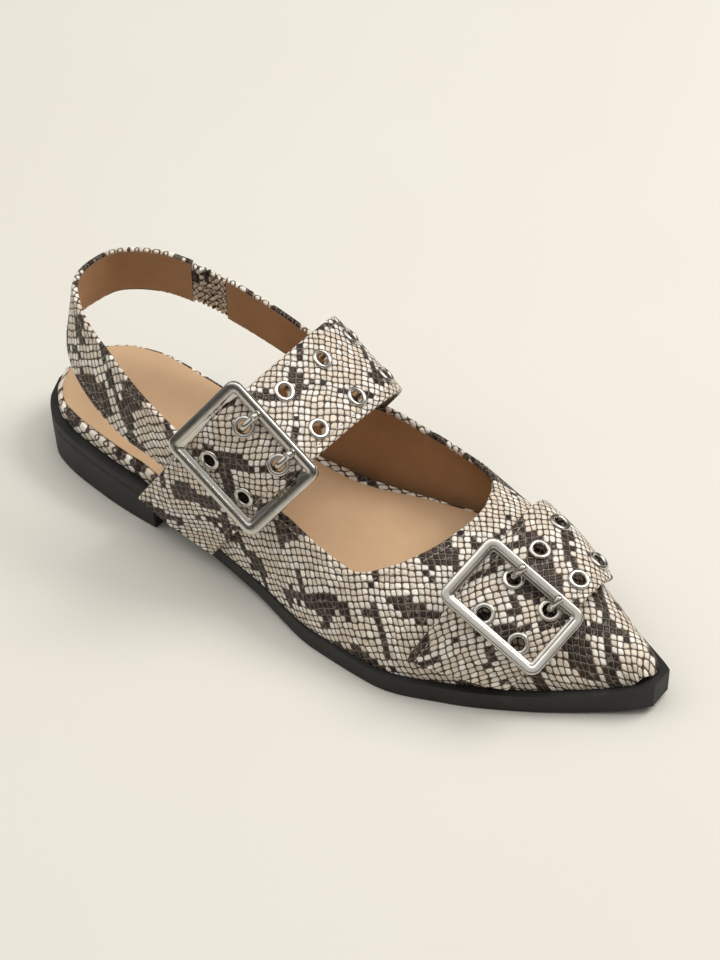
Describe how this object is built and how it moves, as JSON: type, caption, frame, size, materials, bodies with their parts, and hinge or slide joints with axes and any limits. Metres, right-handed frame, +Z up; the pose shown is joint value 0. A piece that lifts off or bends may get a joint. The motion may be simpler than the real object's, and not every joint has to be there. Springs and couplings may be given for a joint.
{
  "type": "slingback flat shoe",
  "caption": "Right slingback flat with a pointed vamp, wide buckled instep strap, smaller buckled toe strap, sling round the heel and low block heel",
  "frame": {"origin": "middle of the heel's resting face, on the floor", "axes": "+X to the toe, +Y to the medial side, +Z up"},
  "size_m": [0.272, 0.0936, 0.0861],
  "materials": {
    "snake_leather": "embossed snake print, cream and dark brown, slight sheen",
    "tan_lining": "smooth matt tan",
    "black_rubber": "matt near-black",
    "nickel": "polished nickel"
  },
  "bodies": {
    "root": {"footbed": "snake_leather", "heel": "black_rubber", "instep_buckle": "nickel", "instep_eyelet_01": "nickel", "instep_eyelet_02": "nickel", "instep_eyelet_03": "nickel", "instep_eyelet_04": "nickel", "instep_eyelet_05": "nickel", "instep_eyelet_06": "nickel", "instep_eyelet_07": "nickel", "instep_eyelet_08": "nickel", "instep_eyelet_09": "nickel", "instep_eyelet_10": "nickel", "instep_eyelet_11": "nickel", "instep_eyelet_12": "nickel", "instep_eyelet_13": "nickel", "instep_eyelet_14": "nickel", "instep_prong_1": "nickel", "instep_prong_2": "nickel", "instep_strap": "snake_leather", "outsole": "black_rubber", "sling_elastic": "snake_leather", "sling_front": "snake_leather", "sling_strap": "snake_leather", "sock": "tan_lining", "toe_buckle": "nickel", "toe_eyelet_01": "nickel", "toe_eyelet_02": "nickel", "toe_eyelet_03": "nickel", "toe_eyelet_04": "nickel", "toe_eyelet_05": "nickel", "toe_eyelet_06": "nickel", "toe_eyelet_07": "nickel", "toe_eyelet_08": "nickel", "toe_eyelet_09": "nickel", "toe_eyelet_10": "nickel", "toe_prong_1": "nickel", "toe_prong_2": "nickel", "toe_strap": "snake_leather", "upper": "snake_leather"}
  },
  "joints": []
}
